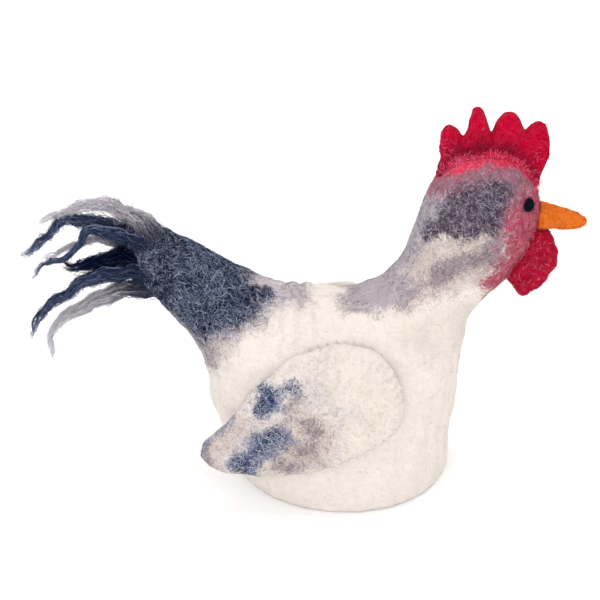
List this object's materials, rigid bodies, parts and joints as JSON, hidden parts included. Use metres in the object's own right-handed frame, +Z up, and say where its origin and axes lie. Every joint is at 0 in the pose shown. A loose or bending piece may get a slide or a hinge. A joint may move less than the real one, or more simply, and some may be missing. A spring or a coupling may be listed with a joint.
{
  "type": "egg cosy",
  "caption": "Hollow felted wool egg cosy shaped as a standing cockerel, with felt comb, wattle, beak, eyes and wings and a tail of loose wool locks.",
  "frame": {"origin": "on the surface the hem stands on, under the middle of the whole bird from beak tip to tail tips", "axes": "+X towards the beak, +Y towards the bird's left wing, +Z up"},
  "size_m": [0.1638, 0.0671, 0.1152],
  "materials": {
    "body_felt": "matt wet-felted wool, cream with blue-grey and navy wool laid over it",
    "wing_felt": "matt wet-felted wool, cream with blue-grey and navy patches",
    "red_felt": "matt crimson wool felt",
    "beak_felt": "firm needle-felted orange wool",
    "eye_felt": "firm needle-felted near-black wool",
    "tail_wool": "loose combed wool, navy, blue-grey and grey"
  },
  "bodies": {
    "root": {"shell": "body_felt", "comb": "red_felt", "wattle": "red_felt", "beak": "beak_felt", "eye_right": "eye_felt", "eye_left": "eye_felt", "wing_right": "wing_felt", "wing_left": "wing_felt", "tail_locks": "tail_wool"}
  },
  "joints": []
}
